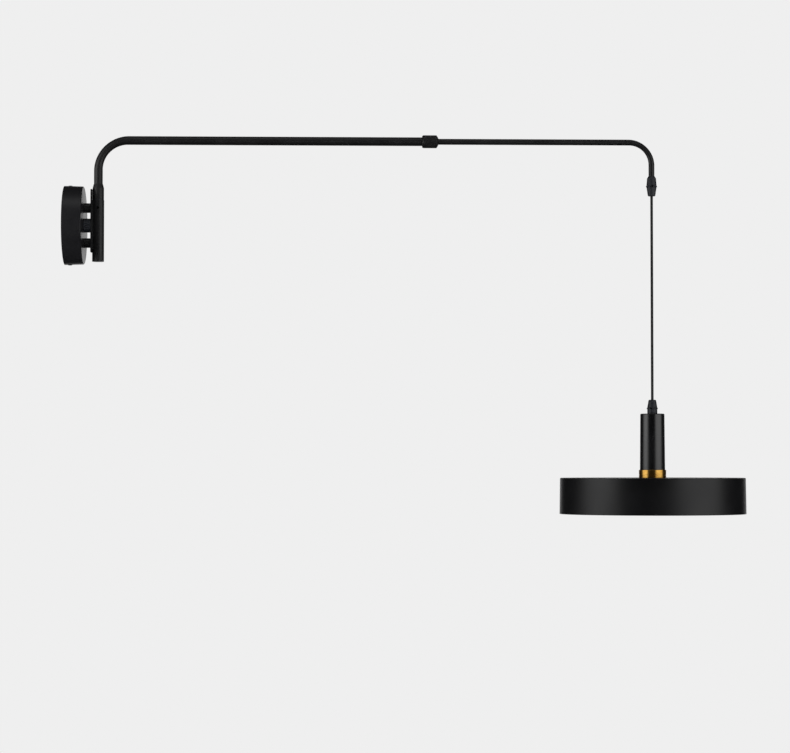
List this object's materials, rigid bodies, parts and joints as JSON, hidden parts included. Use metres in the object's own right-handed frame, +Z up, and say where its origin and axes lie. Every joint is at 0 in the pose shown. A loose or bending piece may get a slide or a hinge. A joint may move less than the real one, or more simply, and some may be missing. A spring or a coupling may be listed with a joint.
{
  "type": "long-arm wall light",
  "caption": "Wall light with a swinging, telescoping black tube arm and a cord-hung flat black drum shade under a brass ring.",
  "frame": {"origin": "centre of the wall-screw pattern, on the wall plane at the middle of the canopy", "axes": "+X out from the wall along the arm, +Z up, +Y sideways to the left seen from the room"},
  "size_m": [1.0975, 0.3, 0.6118],
  "materials": {
    "black_powder_coat": "satin",
    "zinc_plated_steel": "satin",
    "black_oxide_steel": "satin",
    "black_moulded_plastic": "matte",
    "natural_nylon": "matte",
    "brass": "satin",
    "black_cord_sheath": "matte",
    "brown_lead": "satin",
    "blue_lead": "satin",
    "earth_lead": "satin",
    "white_ceramic": "satin",
    "nickel_plated_steel": "satin",
    "white_plastic": "satin",
    "opal_globe": "matte"
  },
  "bodies": {
    "wall_mount": {"wall_strap": "zinc_plated_steel", "canopy": "black_powder_coat", "canopy_screws": "black_powder_coat", "bracket_standoffs": "black_powder_coat", "standoff_washers": "zinc_plated_steel", "standoff_screws": "zinc_plated_steel", "cable_bush": "black_moulded_plastic", "bush_nut": "black_moulded_plastic", "bracket_bar": "black_powder_coat", "pivot_sleeve": "black_powder_coat", "upper_bush": "black_moulded_plastic", "lower_bush": "black_moulded_plastic", "friction_screw": "black_oxide_steel", "sleeve_plug": "black_powder_coat", "terminal_block": "natural_nylon", "terminal_sleeves": "brass", "terminal_screws": "zinc_plated_steel", "terminal_fixing_screws": "zinc_plated_steel", "earth_tag": "brass", "earth_screw": "zinc_plated_steel", "feed_cable": "black_cord_sheath", "lead_live": "brown_lead", "lead_neutral": "blue_lead", "lead_earth": "earth_lead"},
    "arm": {"arm_tube": "black_powder_coat", "swivel_collar": "black_powder_coat", "collar_screw": "black_oxide_steel", "leg_retainer": "zinc_plated_steel", "arm_cable": "black_cord_sheath", "lock_ferrule": "zinc_plated_steel", "lock_collet": "natural_nylon"},
    "lock_nut": {"lock_nut": "black_powder_coat"},
    "extension": {"extension_tube": "black_powder_coat", "guide_bush": "natural_nylon", "extension_cable": "black_cord_sheath", "tip_adapter": "black_moulded_plastic", "tip_grip": "black_moulded_plastic", "tip_grip_screw": "black_oxide_steel"},
    "cord_top": {"cord_flex": "black_cord_sheath"},
    "pendant": {"cord_drop": "black_cord_sheath", "holder_grip": "black_moulded_plastic", "holder_grip_screw": "black_oxide_steel", "holder_nipple": "zinc_plated_steel", "nipple_nut": "zinc_plated_steel", "holder_shell": "black_powder_coat", "socket_cap": "white_ceramic", "socket_body": "white_ceramic", "socket_screw_shell": "nickel_plated_steel", "socket_contact": "brass", "socket_terminals": "brass", "socket_lead_live": "brown_lead", "socket_lead_neutral": "blue_lead", "shade_ring": "brass", "shade": "black_powder_coat", "shade_ring_nut": "black_moulded_plastic", "bulb_contact": "brass", "bulb_cap": "nickel_plated_steel", "bulb_housing": "white_plastic", "bulb_globe": "opal_globe"}
  },
  "joints": [
    {"name": "arm_swing", "type": "hinge", "parent": "wall_mount", "child": "arm", "pos_m": [0.0537, 0, 0], "axis": [0, 0, 1], "range_deg": [-80, 80]},
    {"name": "lock_nut_turn", "type": "hinge", "parent": "arm", "child": "lock_nut", "pos_m": [0.5884, 0, 0.1377], "axis": [1, 0, 0], "range_deg": [0, 180]},
    {"name": "arm_extend", "type": "slide", "parent": "arm", "child": "extension", "axis": [1, 0, 0], "range_m": [-0.3, 0.03]},
    {"name": "pendant_swing_along", "type": "hinge", "parent": "extension", "child": "cord_top", "pos_m": [0.9475, 0, 0.0525], "axis": [0, 1, 0], "range_deg": [-20, 20]},
    {"name": "pendant_swing_across", "type": "hinge", "parent": "cord_top", "child": "pendant", "pos_m": [0.9475, 0, 0.0275], "axis": [1, 0, 0], "range_deg": [-20, 20]}
  ]
}
